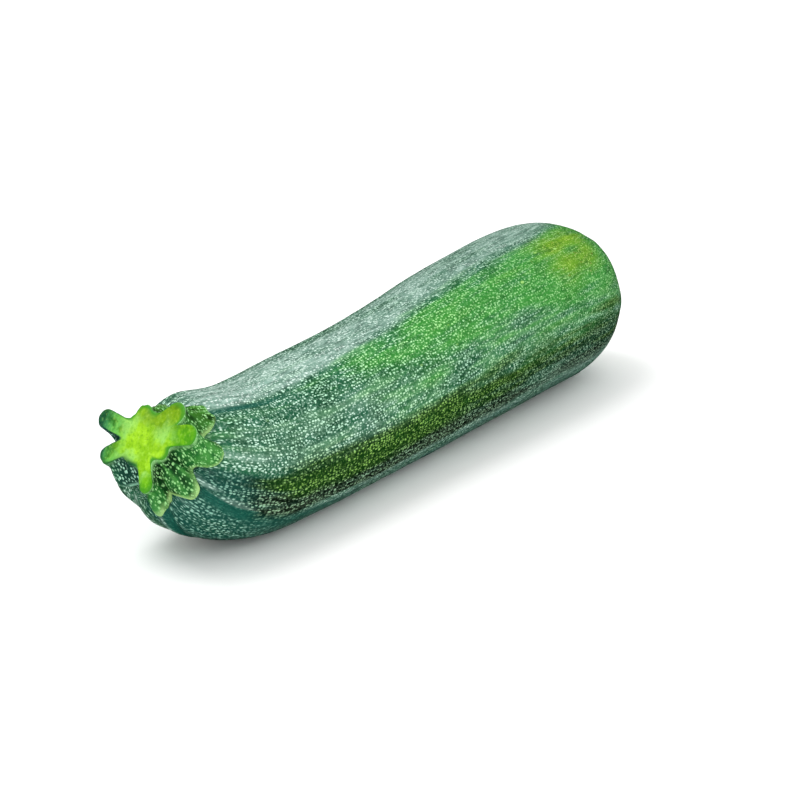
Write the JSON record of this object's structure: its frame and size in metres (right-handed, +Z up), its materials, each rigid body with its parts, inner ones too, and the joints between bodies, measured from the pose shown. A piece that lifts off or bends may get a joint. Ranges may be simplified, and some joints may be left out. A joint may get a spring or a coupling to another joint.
{
  "type": "courgette",
  "caption": "Whole courgette lying on its side: a long, slightly bent green fruit with soft ridges, a curved neck and the lobed stub of its cut stalk.",
  "frame": {"origin": "middle of the bounding box's underside, on the surface that the courgette lies on", "axes": "+X along the fruit from the stalk to the blossom end, +Z up from the surface it lies on, the neck curving up and towards +Y"},
  "size_m": [0.2112, 0.048, 0.0458],
  "materials": {
    "fruit_skin": "satin",
    "stalk": "satin"
  },
  "bodies": {
    "root": {"fruit": "fruit_skin", "stalk": "stalk"}
  },
  "joints": []
}
